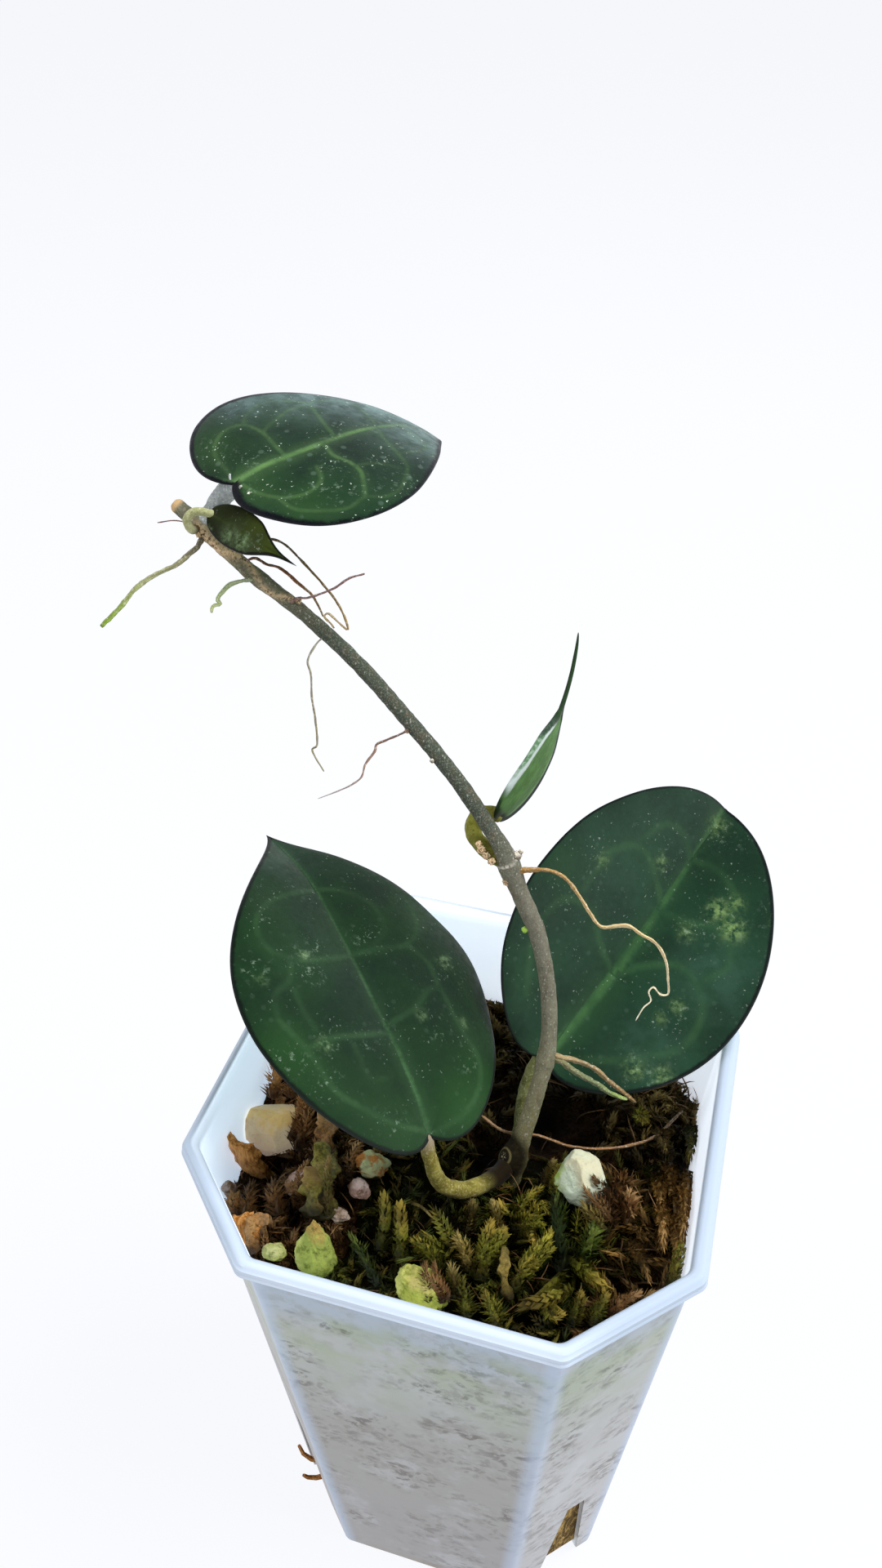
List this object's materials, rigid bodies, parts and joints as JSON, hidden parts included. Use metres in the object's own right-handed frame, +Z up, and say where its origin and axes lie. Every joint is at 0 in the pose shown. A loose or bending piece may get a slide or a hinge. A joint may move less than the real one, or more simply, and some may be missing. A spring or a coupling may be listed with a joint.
{
  "type": "potted hoya vine",
  "caption": "Young climbing hoya vine with thick heart-shaped, black-edged leaves and aerial roots, planted in moss in a square translucent nursery pot.",
  "frame": {"origin": "middle of the pot's flat base, on the surface it stands on", "axes": "+Z up, the pot's flat sides face +X, -X, +Y and -Y, and -Y is the front"},
  "size_m": [0.1093, 0.107, 0.232],
  "materials": {
    "clear_pot": "translucent, satin, milky",
    "brown_moss": "damp, fibrous, matt",
    "green_moss": "damp, leafy, matt",
    "olive_moss": "damp, leafy, matt",
    "pumice": "porous, matt, green with algae",
    "bark": "fibrous, matt",
    "stem_bark": "matt, finely speckled",
    "leaf_green": "waxy, satin, black-purple margin",
    "young_leaf": "glossy, olive",
    "leaf_underside": "waxy, pale underside",
    "aerial_root": "dry, matt",
    "brown_root": "dry, matt"
  },
  "bodies": {
    "root": {"pot": "clear_pot", "moss_bed": "brown_moss", "moss_green": "green_moss", "moss_olive": "olive_moss", "moss_brown": "brown_moss", "bark_flake_tall": "bark", "bark_flake_short": "bark", "vine_stem": "stem_bark", "creeping_root": "brown_root", "leaf_young_top": "young_leaf", "leaf_middle": "leaf_underside", "pumice_cream": "pumice", "pumice_white": "pumice", "pumice_lime": "pumice", "pumice_yellow": "pumice", "pumice_small": "pumice", "pumice_pink": "pumice", "pumice_grey": "pumice", "pumice_tan": "pumice", "leaf_lower_left": "leaf_green", "leaf_lower_right": "leaf_green", "leaf_top": "leaf_green", "aerial_root_1": "aerial_root", "aerial_root_2": "aerial_root", "aerial_root_3": "aerial_root", "aerial_root_4": "aerial_root", "aerial_root_5": "aerial_root", "aerial_root_6": "aerial_root", "aerial_root_7": "aerial_root", "aerial_root_8": "aerial_root", "aerial_root_9": "aerial_root", "aerial_root_10": "aerial_root", "aerial_root_11": "aerial_root"}
  },
  "joints": []
}
